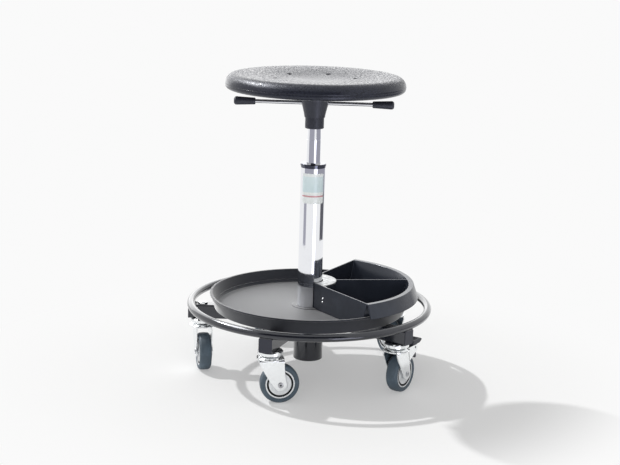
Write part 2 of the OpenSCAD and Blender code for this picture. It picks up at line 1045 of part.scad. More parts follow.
// Section of the bent sheet across the fork: flat crown, round shoulders, two straight sides
module fork_section() {
  mid = [fork_out - fork_shoulder, crown_top - fork_shoulder];
  other = [-mid[0], mid[1]];
  polygon(concat(
    [[fork_out, 0]],
    arc(mid, fork_shoulder, 0, 90, shoulder_steps),
    arc(other, fork_shoulder, 90, 180, shoulder_steps),
    [[-fork_out, 0], [-fork_in, 0]],
    arc(other, fork_shoulder - fork_t, 180, 90, shoulder_steps),
    arc(mid, fork_shoulder - fork_t, 90, 0, shoulder_steps),
    [[fork_in, 0]]
  ));
}

// Lug that carries the brake's pivot, drawn from the side
module lug_outline() {
  polygon([
    [0, crown_top],
    [fork_nape_x, crown_low - 2 * fork_tip_r],
    [lug_reach, crown_low - lug_low_drop],
    [lug_reach, lug_top],
    [fork_back + fork_shoulder, lug_top]
  ]);
}

module castor_fork(k) {
  reach = fork_front + lug_reach;
  color(ZINC)
    on_castor(k)
      difference() {
        union() {
          intersection() {
            translate([-reach, 0, 0])
              rotate([90, 0, 90])
                linear_extrude(2 * reach)
                  fork_section();
            translate([0, fork_out + over, 0])
              rotate([90, 0, 0])
                linear_extrude(2 * (fork_out + over))
                  fork_outline();
          }
          if (k == BRAKED)
            for (y = [-fork_in, fork_out])
              translate([0, y, 0])
                rotate([90, 0, 0])
                  linear_extrude(fork_t)
                    lug_outline();
          translate([0, 0, crown_low])
            cylinder(h = fork_t, r = crown_r);
          translate([0, 0, crown_top])
            cylinder(h = race_h, r1 = race_r, r2 = race_top_r);
        }
        translate([0, 0, crown_low - over])
          cylinder(h = fork_t + race_h + 2 * over, r = sleeve_r + run);
        on_axle()
          cylinder(h = 2 * (fork_out + over), r = axle_r, center = true);
        if (k == BRAKED)
          translate([brake_x, 0, brake_z])
            rotate([90, 0, 0])
              cylinder(h = 2 * (fork_out + over), r = brake_pin_r + run, center = true);
      }
}

module wheel_axle(k) {
  color(STEEL)
    on_castor(k)
      on_axle()
        difference() {
          union() {
            translate([0, 0, -fork_out])
              cylinder(h = 2 * fork_out, r = axle_r);
            for (s = [-fork_out - axle_head_t, fork_out])
              translate([0, 0, s])
                cylinder(h = axle_head_t, r = axle_head_r);
          }
          for (s = [-fork_out - axle_head_t - over, fork_out + axle_head_t - axle_dimple_t])
            translate([0, 0, s])
              cylinder(h = axle_dimple_t + over, r = axle_dimple_r);
        }
}

// Half section of the rim from its boss to its seat for the tyre, mirrored about the middle
module wheel_rim(k) {
  ring_in = rim_r - rim_ring_w;
  disc_r = ring_in - rim_recess_w;
  half = [
    [axle_r + run, rim_half + rim_boss_out],
    [rim_boss_r, rim_half + rim_boss_out],
    [rim_boss_r, rim_half - rim_disc_in],
    [disc_r, rim_half - rim_disc_in],
    [disc_r, rim_half - rim_recess_depth],
    [ring_in, rim_half - rim_recess_depth],
    [ring_in, rim_half],
    [rim_r, rim_half]
  ];
  last = len(half) - 1;
  color(GREY)
    on_castor(k)
      on_axle()
        rotate_extrude()
          polygon(concat(half, [for (i = [last : -1 : 0]) [half[i][0], -half[i][1]]]));
}

module tyre(k) {
  side = wheel_w / 2;
  color(RUBBER)
    on_castor(k)
      on_axle()
        rotate_extrude()
          polygon(concat(
            [[rim_r, -rim_half], [rim_r + rim_side_gap, -side]],
            arc([wheel_r - tyre_shoulder, -side + tyre_shoulder], tyre_shoulder, -90, 0, tyre_steps),
            arc([wheel_r - tyre_shoulder, side - tyre_shoulder], tyre_shoulder, 0, 90, tyre_steps),
            [[rim_r + rim_side_gap, side], [rim_r, rim_half]]
          ));
}

// Pedal pad, hub, and the shoe that swings in against the tyre
module brake_pedal() {
  rib_to = pedal_to - pedal_tip_in - rib_inset;
  shoe_in = wheel_r + shoe_gap;
  mid = [trail, wheel_r];
  color(BLACK)
    on_castor(BRAKED) {
      translate([0, pedal_w / 2, 0])
        rotate([90, 0, 0])
          linear_extrude(pedal_w)
            polygon([
              [pedal_from, pedal_low],
              [pedal_tip_from, pedal_low],
              [pedal_to, pedal_low + pedal_tip_low],
              [pedal_to - pedal_tip_in, pedal_low + pedal_t],
              [pedal_from + pedal_tip_in, pedal_low + pedal_t]
            ]);
      for (i = [0 : rib_count - 1])
        translate([rib_to - rib_w - i * rib_step, rib_inset - pedal_w / 2, pedal_low])
          cube([rib_w, pedal_w - 2 * rib_inset, pedal_t + rib_h]);
      translate([0, fork_in - gap, 0])
        rotate([90, 0, 0])
          linear_extrude(2 * (fork_in - gap)) {
            translate([brake_x, brake_z])
              circle(brake_hub_r);
            translate([brake_x - brake_hub_r, brake_z])
              square([2 * brake_hub_r, pedal_low - brake_z]);
            polygon(concat(
              arc(mid, shoe_in, shoe_from, shoe_to, shoe_steps),
              [[brake_x - brake_hub_r, brake_z]],
              [[brake_x + brake_hub_r, brake_z]],
              [mid + (shoe_in + shoe_t) * [cos(shoe_from), sin(shoe_from)]]
            ));
          }
      translate([brake_x, fork_out, brake_z])
        rotate([90, 0, 0])
          cylinder(h = 2 * fork_out, r = brake_pin_r);
    }
}

hub_tube();
leg(0);  // leg_1
leg(1);  // leg_2
leg(2);  // leg_3
leg(3);  // leg_4
leg(4);  // leg_5
leg_plugs();
foot_ring();
tray();
tool_box();
corner_plate();
plate_rivets();
column_tube();
column_cap();
guide_sleeve();
thrust_bearing();
piston_rod();
retaining_clip();
gas_cylinder();
release_pin();
seat_plate();
cone_cover();
collar();
seat_board();
seat_cushion();
seat_screws();
lever_pins();
pusher_block();
lever_left();
lever_right();
grip_left();
grip_right();
castor_bolts();
castor_head(0);  // castor_head_1
castor_head(1);  // castor_head_2
castor_head(2);  // castor_head_3
castor_head(3);  // castor_head_4
castor_head(4);  // castor_head_5
castor_fork(0);  // castor_fork_1
castor_fork(1);  // castor_fork_2
castor_fork(2);  // castor_fork_3
castor_fork(3);  // castor_fork_4
castor_fork(4);  // castor_fork_5
wheel_axle(0);  // wheel_axle_1
wheel_axle(1);  // wheel_axle_2
wheel_axle(2);  // wheel_axle_3
wheel_axle(3);  // wheel_axle_4
wheel_axle(4);  // wheel_axle_5
wheel_rim(0);  // wheel_rim_1
wheel_rim(1);  // wheel_rim_2
wheel_rim(2);  // wheel_rim_3
wheel_rim(3);  // wheel_rim_4
wheel_rim(4);  // wheel_rim_5
tyre(0);  // tyre_1
tyre(1);  // tyre_2
tyre(2);  // tyre_3
tyre(3);  // tyre_4
tyre(4);  // tyre_5
brake_pedal();
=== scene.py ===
"""Rolling workshop seat with a tool tray: finishes, soft cushion and fine details round the fixed frame."""

import json
from math import atan2, cos, pi, radians, sin, tan

import bmesh
import bpy
import numpy as np
from bpy.props import FloatProperty, FloatVectorProperty, IntProperty, PointerProperty
from mathutils import Matrix, Vector


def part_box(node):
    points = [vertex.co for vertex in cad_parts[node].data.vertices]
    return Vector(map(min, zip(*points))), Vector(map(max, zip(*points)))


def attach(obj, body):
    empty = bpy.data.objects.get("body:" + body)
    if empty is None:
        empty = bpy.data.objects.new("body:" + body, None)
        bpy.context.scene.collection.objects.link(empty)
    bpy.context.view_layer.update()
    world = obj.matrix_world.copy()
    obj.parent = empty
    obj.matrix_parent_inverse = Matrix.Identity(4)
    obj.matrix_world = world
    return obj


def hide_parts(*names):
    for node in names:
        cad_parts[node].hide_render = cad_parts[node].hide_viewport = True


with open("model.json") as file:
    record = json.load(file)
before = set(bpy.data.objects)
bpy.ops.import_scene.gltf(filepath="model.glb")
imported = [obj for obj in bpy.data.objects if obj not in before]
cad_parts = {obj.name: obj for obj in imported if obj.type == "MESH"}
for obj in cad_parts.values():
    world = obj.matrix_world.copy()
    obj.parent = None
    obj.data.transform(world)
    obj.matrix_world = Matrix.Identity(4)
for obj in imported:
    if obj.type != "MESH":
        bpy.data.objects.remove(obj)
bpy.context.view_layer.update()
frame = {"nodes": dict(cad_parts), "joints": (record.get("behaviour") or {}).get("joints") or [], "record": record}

bl_info = {
    "name": "Creeper Seat",
    "version": (1, 0, 0),
    "blender": (4, 5, 0),
    "location": "View3D > Sidebar > Creeper Seat",
    "description": "Dresses the frame of a rolling workshop seat with its cushion, wheels, finishes and stage",
    "category": "Object",
}

NODES = frame["nodes"]
JOINTS = {joint["name"]: joint for joint in frame["joints"]}
OWNER = {node: body for body, nodes in frame["record"]["behaviour"]["bodies"].items() for node in nodes}
CASTORS = range(1, 6)
MM = 0.001
TURN = 2 * pi
CUSHION_SPOKES = 336
WHEEL_SPOKES = 96
TYRE_SPOKES = 128
AXLE_SPOKES = 48
BEAD_SIDES = 10
FLOOR_SPOKES = 96
WHITE = (1.0, 1.0, 1.0, 1.0)
BACKDROP = (0.955, 0.955, 0.955, 1.0)


class CushionSettings(bpy.types.PropertyGroup):
    """Sizes of the foam cushion's skin"""

    dish: FloatProperty(name="Dish", description="Depth of the dish in the middle", default=14 * MM, unit="LENGTH")
    roll: FloatProperty(name="Roll", description="Radius of the rolled top edge", default=20 * MM, unit="LENGTH")
    tuck: FloatProperty(name="Tuck", description="Radius of the lower edge", default=9 * MM, unit="LENGTH")
    parting: FloatProperty(
        name="Parting line", description="Height of the mould's parting line", default=0.5 * MM, unit="LENGTH"
    )
    vent_ring: FloatProperty(
        name="Vent ring", description="Distance from the middle to each vent", default=81 * MM, unit="LENGTH"
    )
    vent_radius: FloatProperty(name="Vent radius", description="Radius of a vent", default=4.5 * MM, unit="LENGTH")
    vent_depth: FloatProperty(name="Vent depth", description="Depth of a vent", default=8.5 * MM, unit="LENGTH")
    vent_turn: FloatProperty(
        name="Vent turn", description="Direction of the first vent", default=radians(-47), subtype="ANGLE"
    )
    vents: IntProperty(name="Vents", description="Number of vents", default=6, min=1)


class DetailSettings(bpy.types.PropertyGroup):
    """Sizes of the small details"""

    edge: FloatProperty(name="Edge", description="Scale of the eased edges' widths", default=1.0, min=0)
    bead: FloatProperty(name="Bead", description="Radius of the weld beads", default=2.2 * MM, unit="LENGTH")
    ripple: FloatProperty(name="Ripple", description="Length of a weld's ripples", default=2.4 * MM, unit="LENGTH")
    label_low: FloatProperty(
        name="Label's foot", description="Height of the label's lower edge", default=356 * MM, unit="LENGTH"
    )
    label_high: FloatProperty(
        name="Label's top", description="Height of the label's upper edge", default=417 * MM, unit="LENGTH"
    )
    label_half: FloatProperty(
        name="Label's half turn", description="Half the label's angle", default=radians(55), subtype="ANGLE"
    )
    label_turn: FloatProperty(
        name="Label's direction", description="Direction the label faces", default=radians(-87), subtype="ANGLE"
    )


def colour_property(name, description, default):
    """A colour that a user may change, in linear light."""
    return FloatVectorProperty(name=name, description=description, default=default, subtype="COLOR", min=0, max=1)


class ColourSettings(bpy.types.PropertyGroup):
    """Colours of the finishes"""

    coat: colour_property("Powder coat", "Black coat of the steel base", (0.006, 0.007, 0.011))
    tray: colour_property("Tray", "Black plastic of the tray", (0.006, 0.007, 0.011))
    box: colour_property("Tool box", "Black plastic of the tool box", (0.022, 0.026, 0.036))
    trim: colour_property("Trim", "Black plastic of cone, collar, grips and plugs", (0.022, 0.023, 0.032))
    skin: colour_property("Cushion", "Skin of the cushion", (0.022, 0.024, 0.036))
    chrome: colour_property("Chrome", "Chrome plate", (0.86, 0.87, 0.90))
    cap: colour_property("Cap", "Darker chrome of the column's cap", (0.11, 0.115, 0.14))
    zinc: colour_property("Zinc", "Bright zinc plate", (0.90, 0.92, 0.93))
    steel: colour_property("Steel", "Ground steel", (0.55, 0.56, 0.58))
    rubber: colour_property("Rubber", "Rubber of the tyres", (0.064, 0.090, 0.116))
    wheel: colour_property("Wheel", "Pale plastic of the wheels", (0.84, 0.86, 0.88))
    sheen: colour_property("Sheen", "Tint of what black surfaces reflect", (0.88, 0.91, 1.0))
    board: colour_property("Board", "Stained plywood of the seat board", (0.045, 0.042, 0.045))


class StageSettings(bpy.types.PropertyGroup):
    """Camera, floor and light"""

    camera_place: FloatVectorProperty(
        name="Camera", description="Place of the camera", default=(0.0602, -2.8754, 0.943), subtype="XYZ", unit="LENGTH"
    )
    pitch: FloatProperty(
        name="Pitch", description="How far the camera looks down", default=radians(12.76), subtype="ANGLE"
    )
    heading: FloatProperty(
        name="Heading", description="How far the camera looks away from Y", default=radians(-1.253), subtype="ANGLE"
    )
    roll: FloatProperty(name="Roll", description="How far the camera leans", default=radians(1.671), subtype="ANGLE")
    lens: FloatProperty(name="Lens", description="Focal length for a 36 mm sensor", default=84.27, unit="CAMERA")
    key_direction: FloatVectorProperty(
        name="Key light",
        description="Direction towards the key light",
        default=(-0.563, 0.406, 0.72),
        subtype="DIRECTION",
    )
    key_power: FloatProperty(name="Key power", description="Strength of the key light", default=2.1, min=0)
    dome_power: FloatProperty(name="Dome power", description="Strength of the light all round", default=0.38, min=0)
    back_power: FloatProperty(name="Back power", description="Strength of the soft box behind", default=14.0, min=0)
    front_power: FloatProperty(name="Front power", description="Strength of the soft box in front", default=35.0, min=0)
    back_glow: FloatProperty(name="Back glow", description="Glow of the card behind", default=1.12, min=0)
    left_glow: FloatProperty(name="Left glow", description="Glow of the card at the left", default=11.0, min=0)
    paper: FloatProperty(name="Paper", description="How little the floor takes on shadow", default=0.32, min=0, max=1)
    fade_from: FloatProperty(
        name="Fade from", description="Where the floor starts to turn plain", default=0.44, unit="LENGTH"
    )
    fade_to: FloatProperty(name="Fade to", description="Where the floor is all plain", default=0.72, unit="LENGTH")


def settings(kind):
    """The settings group of that kind in the open scene."""
    return getattr(bpy.context.scene, "creeper_" + kind)


class Wire:
    """One output of a shader tree. Arithmetic on wires adds the Math nodes that do it."""

    def __init__(self, recipe, socket):
        self.recipe, self.socket = recipe, socket

    def maths(self, operation, *values):
        return self.recipe.add("ShaderNodeMath", {"operation": operation}, *values)

    def __add__(self, other):
        return self.maths("ADD", self, other)

    def __sub__(self, other):
        return self.maths("SUBTRACT", self, other)

    def __rsub__(self, other):
        return self.maths("SUBTRACT", other, self)

    def __mul__(self, other):
        return self.maths("MULTIPLY", self, other)

    def __truediv__(self, other):
        return self.maths("DIVIDE", self, other)

    def __rtruediv__(self, other):
        return self.maths("DIVIDE", other, self)

    def __pow__(self, other):
        return self.maths("POWER", self, other)

    def __rpow__(self, other):
        return self.maths("POWER", other, self)

    __radd__ = __add__
    __rmul__ = __mul__

    def most(self, other):
        """The larger of two."""
        return self.maths("MAXIMUM", self, other)

    def over(self, low, high):
        """0 below low, 1 above high, and a smooth rise between them."""
        ramp = {"interpolation_type": "SMOOTHSTEP"}
        return self.recipe.add("ShaderNodeMapRange", ramp, self, low, high, 0.0, 1.0)


class Recipe:
    """A material or world in the making: adds nodes and wires them."""

    def __init__(self, owner):
        owner.use_nodes = True
        self.owner, self.tree = owner, owner.node_tree
        self.tree.nodes.clear()

    def add(self, kind, choices, *values, out=0, **named):
        """Adds a node, sets its choices, then gives its sockets values or wires, by place or by name."""
        node = self.tree.nodes.new(kind)
        for key, value in choices.items():
            setattr(node, key, value)
        for key, value in [*enumerate(values), *named.items()]:
            socket = node.inputs[key if isinstance(key, int) else key.replace("_", " ")]
            if isinstance(value, Wire):
                self.tree.links.new(value.socket, socket)
            elif value is not None:
                socket.default_value = value
        return Wire(self, node.outputs[out]) if node.outputs else None

    def place(self, scale=(1, 1, 1)):
        """Object coordinates, stretched by scale."""
        here = self.add("ShaderNodeTexCoord", {}, out="Object")
        return here if scale == (1, 1, 1) else self.add("ShaderNodeMapping", {}, Vector=here, Scale=scale)

    def noise(self, scale, detail=2.0, stretch=(1, 1, 1), rough=0.5):
        """Cloudy noise from 0 to 1."""
        here = self.place(stretch)
        return self.add("ShaderNodeTexNoise", {}, Vector=here, Scale=scale, Detail=detail, Roughness=rough)

    def cells(self, scale, feature="F1"):
        """Distance to the nearest cell's middle, or to its edge."""
        return self.add("ShaderNodeTexVoronoi", {"feature": feature}, Vector=self.place(), Scale=scale, out="Distance")

    def axis(self, index):
        """One of the Object coordinates."""
        return self.add("ShaderNodeSeparateXYZ", {}, self.place(), out=index)

    def ray(self, *kinds):
        """1 for light rays of one of these kinds, 0 for others."""
        first, *others = [self.add("ShaderNodeLightPath", {}, out=f"Is {kind} Ray") for kind in kinds]
        for other in others:
            first = first.most(other)
        return first

    def blend(self, share, first, second):
        """A colour between two colours. A Mix node's sockets 6 and 7 and its output 2 are those for colours."""
        return self.add("ShaderNodeMix", {"data_type": "RGBA"}, share, *[None] * 5, first, second, out=2)

    def bump(self, height, depth):
        """A normal bent by a height from 0 to 1 that stands for so many metres."""
        return self.add("ShaderNodeBump", {}, Strength=1.0, Distance=depth, Height=height)

    def surface(self, **sockets):
        """The main shader, with its sockets given by name, wired to the output."""
        shader = self.add("ShaderNodeBsdfPrincipled", {}, **sockets)
        self.add("ShaderNodeOutputMaterial", {}, shader)
        return self.owner


def rgba(colour, gain=1.0):
    """A colour with its alpha, made lighter or darker by gain."""
    return tuple(min(1.0, part * gain) for part in colour) + (1.0,)


def powder_coat(recipe, look):
    """Gloss black coat with the fine orange peel that powder leaves, a little dustier in places."""
    peel = recipe.noise(620, 2) * 0.7 + recipe.noise(2400, 1) * 0.3
    dust = recipe.noise(16, 4, rough=0.6)
    base = recipe.blend(dust.over(0.45, 0.8), rgba(look.coat), rgba(look.coat, 1.7))
    return recipe.surface(
        Base_Color=base,
        Roughness=0.1 + 0.1 * dust,
        Specular_Tint=rgba(look.sheen),
        Coat_Weight=0.8,
        Coat_Roughness=0.06,
        Normal=recipe.bump(peel, 0.04 * MM),
    )


def chrome_plate(recipe, look, colour=None):
    """Chrome, mirror bright, with faint smudges and a hint of polishing lines along Z."""
    colour = colour or look.chrome
    smudge = recipe.noise(22, 4, rough=0.65).over(0.5, 0.85)
    lines = recipe.noise(900, 1, stretch=(1, 1, 0.02))
    base = recipe.blend(smudge, rgba(colour), rgba(colour, 0.94))
    return recipe.surface(
        Base_Color=base, Metallic=1.0, Roughness=0.035 + 0.07 * smudge, Normal=recipe.bump(lines, 0.002 * MM)
    )


def dark_chrome(recipe, look):
    """The column cap's darker chrome."""
    return chrome_plate(recipe, look, look.cap)


def zinc_plate(recipe, look):
    """Bright zinc: pale metal with small crystals that differ a little in tone and gloss."""
    crystal = recipe.cells(260) * 0.6 + recipe.noise(90, 3) * 0.4
    base = recipe.blend(crystal.over(0.2, 0.8), rgba(look.zinc), rgba(look.zinc, 0.94))
    fine = recipe.noise(1500, 2)
    return recipe.surface(
        Base_Color=base, Metallic=1.0, Roughness=0.12 + 0.08 * crystal, Normal=recipe.bump(fine, 0.004 * MM)
    )


def dull_zinc(recipe, look):
    """The corner plate's duller zinc, brushed and spotted."""
    spots = recipe.cells(150) * 0.5 + recipe.noise(70, 4, rough=0.65) * 0.5
    base = recipe.blend(spots.over(0.2, 0.7), rgba(look.zinc, 0.6), rgba(look.zinc, 0.34))
    return recipe.surface(
        Base_Color=base, Metallic=1.0, Roughness=0.3 + 0.2 * spots, Normal=recipe.bump(spots, 0.03 * MM)
    )


def ground_steel(recipe, look):
    """Ground steel with fine lines."""
    lines = recipe.noise(420, 3, stretch=(1, 1, 9))
    base = recipe.blend(lines, rgba(look.steel, 0.8), rgba(look.steel, 1.1))
    return recipe.surface(
        Base_Color=base, Metallic=1.0, Roughness=0.26 + 0.2 * lines, Normal=recipe.bump(lines, 0.01 * MM)
    )


def tray_plastic(recipe, look, colour=None, rough=0.42, dust=1.0):
    """Black moulded plastic with a fine pebble grain, a few faint scuffs and a dust that turns it pale edge-on."""
    colour = colour or look.tray
    pebble = recipe.cells(900).over(0.1, 0.75)
    cloud = recipe.noise(12, 4, rough=0.6)
    scuff = recipe.noise(60, 5, stretch=(1, 5, 1), rough=0.7).over(0.62, 0.8)
    base = recipe.blend(cloud.over(0.4, 0.8), rgba(colour), rgba(colour, 1.6))
    return recipe.surface(
        Base_Color=base,
        Roughness=rough + 0.12 * cloud + 0.06 * scuff,
        Specular_Tint=rgba(look.sheen),
        Sheen_Weight=dust,
        Sheen_Roughness=0.4,
        Normal=recipe.bump(pebble + 0.3 * recipe.noise(2600, 1), 0.012 * MM),
    )


def box_plastic(recipe, look):
    """The tool box's plastic: as the tray's, but greyer, glossier and without dust."""
    return tray_plastic(recipe, look, look.box, rough=0.16, dust=0.0)


def black_trim(recipe, look):
    """Satin black plastic with the fine grain of an eroded mould."""
    grain = recipe.noise(1500, 2)
    cloud = recipe.noise(25, 3)
    base = recipe.blend(cloud, rgba(look.trim), rgba(look.trim, 1.4))
    return recipe.surface(
        Base_Color=base,
        Roughness=0.36 + 0.14 * cloud,
        Specular_Tint=rgba(look.sheen),
        Normal=recipe.bump(grain, 0.03 * MM),
    )


def pale_plastic(recipe, look):
    """Pale grey plastic of the wheels, with a touch of sink and dust."""
    cloud = recipe.noise(45, 4, rough=0.6)
    base = recipe.blend(cloud.over(0.4, 0.85), rgba(look.wheel), rgba(look.wheel, 0.84))
    fine = recipe.noise(1200, 2)
    return recipe.surface(Base_Color=base, Roughness=0.28 + 0.16 * cloud, Normal=recipe.bump(fine, 0.02 * MM))


def tyre_rubber(recipe, look):
    """Blue-grey rubber, dull, with fine dust and a faint mould skin."""
    dust = recipe.noise(38, 5, rough=0.65)
    base = recipe.blend(dust.over(0.42, 0.75), rgba(look.rubber), rgba(look.rubber, 1.55))
    skin = recipe.noise(800, 3)
    return recipe.surface(Base_Color=base, Roughness=0.46 + 0.2 * dust, Normal=recipe.bump(skin, 0.06 * MM))


def cushion_skin(recipe, look):
    """Skin of the moulded foam: soft pebbles between creases, bolder on its top, where the gloss is mottled too; the
    creases are painted darker as shade.
    """
    crease = recipe.cells(250, "DISTANCE_TO_EDGE").over(0.0, 0.16)
    fine = recipe.cells(640).over(0.15, 0.7)
    cloud = recipe.noise(18, 4, rough=0.6)
    rim = max(corner[2] for corner in NODES["seat_cushion"].bound_box)
    upper = recipe.axis(2).over(rim - 14 * MM, rim - 5 * MM)
    height = (crease * 0.4 + (1 - fine) * 0.2 + recipe.noise(240, 4, rough=0.65)) * (0.35 + 0.65 * upper)
    mottle = recipe.noise(300, 3).over(0.38, 0.62)
    # The base colour is darker along the creases as painted shade, and lighter or darker at random with the cloud.
    base = recipe.blend(crease * cloud, rgba(look.skin, 0.5), rgba(look.skin, 1.8))
    return recipe.surface(
        Base_Color=base,
        Roughness=0.24 + (0.3 * mottle - 0.06) * upper,
        Specular_IOR_Level=0.36,
        Specular_Tint=rgba(look.sheen),
        Normal=recipe.bump(height, 0.24 * MM),
    )


def plywood(recipe, look):
    """Plywood: long grain on the face, darker and lighter plies along its edge."""
    grain = recipe.noise(70, 5, stretch=(0.12, 1, 1), rough=0.6)
    ply = recipe.add("ShaderNodeTexWave", {"bands_direction": "Z"}, Vector=recipe.place(), Scale=155.0, Distortion=0.4)
    base = recipe.blend(grain * 0.6 + ply * 0.4, rgba(look.board, 0.62), rgba(look.board, 1.25))
    return recipe.surface(Base_Color=base, Roughness=0.55 + 0.15 * grain, Normal=recipe.bump(grain, 0.08 * MM))


def painted_shade_recess(recipe, look):
    """Near-black painted shade for the deep groove of the wheels and the drilled middles of the axles, mottled at
    random.
    """
    shade_mottle = recipe.noise(300, 3)
    # The mottle moves the painted shade between 0.4 and 0.9 of the coat's black.
    base = recipe.blend(shade_mottle, rgba(look.coat, 0.4), rgba(look.coat, 0.9))
    return recipe.surface(Base_Color=base, Roughness=0.5 + 0.2 * shade_mottle)


def plain_label(recipe, look):
    """Plain pale label: a soft grey-blue panel in its upper part and a thin muted rule under it, without words."""
    low, high = settings("detail").label_low, settings("detail").label_high
    up = (recipe.axis(2) - low) / (high - low)
    panel = up.over(0.36, 0.40) * (1 - up.over(0.88, 0.92))
    rule = up.over(0.215, 0.225) * (1 - up.over(0.265, 0.275))
    fade = recipe.noise(60, 2) * 0.3 + up * 0.7
    paper = (0.86, 0.90, 0.90, 1.0)
    blue = recipe.blend(fade, (0.58, 0.74, 0.78, 1.0), (0.76, 0.87, 0.89, 1.0))
    base = recipe.blend(rule, recipe.blend(panel, paper, blue), (0.62, 0.30, 0.33, 1.0))
    return recipe.surface(
        Base_Color=base, Roughness=0.28 + 0.1 * recipe.noise(200, 2), Coat_Weight=0.4, Coat_Roughness=0.08
    )


FINISHES = {
    "steel_black": powder_coat,
    "chrome": chrome_plate,
    "dark_chrome": dark_chrome,
    "zinc": zinc_plate,
    "dull_zinc": dull_zinc,
    "steel": ground_steel,
    "tray_plastic": tray_plastic,
    "box_plastic": box_plastic,
    "black_plastic": black_trim,
    "grey_plastic": pale_plastic,
    "cushion": cushion_skin,
    "tyre": tyre_rubber,
    "board": plywood,
    "recess": painted_shade_recess,
    "label": plain_label,
}


def finish(name):
    """The finish of that name, made the first time that it is asked for."""
    title = "finish_" + name
    if title not in bpy.data.materials:
        FINISHES[name](Recipe(bpy.data.materials.new(title)), settings("colours"))
    return bpy.data.materials[title]


def slot_of(node):
    """The material slot that a CAD node was packed with."""
    return NODES[node].data.materials[0].name.removeprefix("finish_").split(".")[0]


def rounded(corners, steps=4):
    """A profile through corners (radius, height, fillet): each corner is cut back and bridged by an arc."""
    points = np.array([corner[:2] for corner in corners], float)
    out = []
    for i, (here, fillet) in enumerate(zip(points, (corner[2] for corner in corners))):
        before, after = points[i - 1] - here, points[(i + 1) % len(points)] - here
        before, after = before / np.linalg.norm(before), after / np.linalg.norm(after)
        half = np.arccos(np.clip(before @ after, -1, 1)) / 2
        if fillet <= 0 or half > 0.49 * pi:
            out.append(here)
            continue
        middle = here + (before + after) / np.linalg.norm(before + after) * fillet / sin(half)
        start, end = here + before * fillet / tan(half), here + after * fillet / tan(half)
        a, b = start - middle, end - middle
        sweep = atan2(a[0] * b[1] - a[1] * b[0], a @ b)
        turn = np.linspace(0, sweep, steps + 1)
        out.extend(middle + np.c_[a[0] * np.cos(turn) - a[1] * np.sin(turn), a[0] * np.sin(turn) + a[1] * np.cos(turn)])
    return np.array(out)


def skin_grid(points, wrap_rows, wrap_columns):
    """Vertices and quads of a grid of points: each quad joins four neighbours, and a wrapped side joins its start."""
    rows, columns = points.shape[:2]
    r = np.arange(rows if wrap_rows else rows - 1)[:, None]
    c = np.arange(columns if wrap_columns else columns - 1)[None, :]
    r1, c1 = (r + 1) % rows, (c + 1) % columns
    quads = np.stack([r * columns + c, r * columns + c1, r1 * columns + c1, r1 * columns + c], -1).reshape(-1, 4)
    return points.reshape(-1, 3), quads


def stood(name, data):
    """A new object of that name with that data, linked to the scene."""
    made = bpy.data.objects.new(name, data)
    bpy.context.scene.collection.objects.link(made)
    return made


def meshed(name, points, quads):
    """A new mesh of that name from arrays of points and quads."""
    mesh = bpy.data.meshes.new(name)
    mesh.from_pydata(points.tolist(), [], quads.tolist())
    return mesh


def piece(name, parts, finishes, body, crease=radians(38), bands=None):
    """Makes one object of several (points, quads) parts: merges doubles, turns faces outwards, shades smooth."""
    start = np.cumsum([0] + [len(points) for points, _ in parts[:-1]])
    points = np.concatenate([points for points, _ in parts])
    quads = np.concatenate([quads + first for (_, quads), first in zip(parts, start)])
    mesh = meshed(name, points, quads)
    if bands is not None:
        mesh.polygons.foreach_set("material_index", np.asarray(bands, np.int32))
    work = bmesh.new()
    work.from_mesh(mesh)
    bmesh.ops.remove_doubles(work, verts=work.verts, dist=1e-6)
    bmesh.ops.dissolve_degenerate(work, edges=work.edges, dist=1e-7)
    bmesh.ops.recalc_face_normals(work, faces=work.faces)
    work.to_mesh(mesh)
    work.free()
    mesh.shade_smooth()
    mesh.set_sharp_from_angle(angle=crease)
    made = stood(name, mesh)
    for slot in finishes:
        mesh.materials.append(finish(slot))
    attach(made, body)
    return made


def eased(node, width):
    """Stands a copy of a CAD node in its place: merged, its flat faces joined, its long sharp edges bevelled."""
    width = width * settings("detail").edge
    mesh = NODES[node].data.copy()
    mesh.name = node + "_eased"
    work = bmesh.new()
    work.from_mesh(mesh)
    bmesh.ops.remove_doubles(work, verts=work.verts, dist=1e-6)
    bmesh.ops.dissolve_limit(work, angle_limit=radians(0.8), verts=work.verts, edges=work.edges)
    weight = work.edges.layers.float.new("bevel_weight_edge")
    for edge in work.edges:
        if edge.is_manifold and edge.calc_length() > width and abs(edge.calc_face_angle_signed()) > radians(28):
            edge[weight] = 1.0
    work.to_mesh(mesh)
    work.free()
    if mesh.attributes.get("custom_normal"):
        mesh.attributes.remove(mesh.attributes["custom_normal"])
    mesh.shade_smooth()
    mesh.set_sharp_from_angle(angle=radians(40))
    made = stood(node + "_eased", mesh)
    bevel = made.modifiers.new("Eased edges", "BEVEL")
    bevel.width = width
    bevel.segments = 2
    bevel.limit_method = "WEIGHT"
    bevel.use_clamp_overlap = False
    bevel.harden_normals = True
    dress(made, slot_of(node))
    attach(made, OWNER[node])
    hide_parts(node)
    return made


def dress(made, slot):
    """Gives a piece the finish of a material slot, and names the slot."""
    made.data.materials.clear()
    made.data.materials.append(finish(slot))


def spun(profile, steps, closed=True):
    """A profile of (radius, height) points carried round Z: x = r cos t, y = r sin t, z = h."""
    t = np.arange(steps) / steps * TURN
    r, h = profile[:, :1], profile[:, 1:]
    grid = np.stack([r * np.cos(t), r * np.sin(t), h + 0 * t], -1)
    return skin_grid(grid, closed, True)


def set_about(part, middle, axis, forward=(0, 0, 1)):
    """Moves a part drawn about Z so that Z lies along axis, through middle."""
    points, quads = part
    z = np.array(Vector(axis).normalized())
    x = np.array(Vector(forward).cross(Vector(axis)).normalized())
    return points @ np.array([x, np.cross(z, x), z]) + np.array(middle), quads


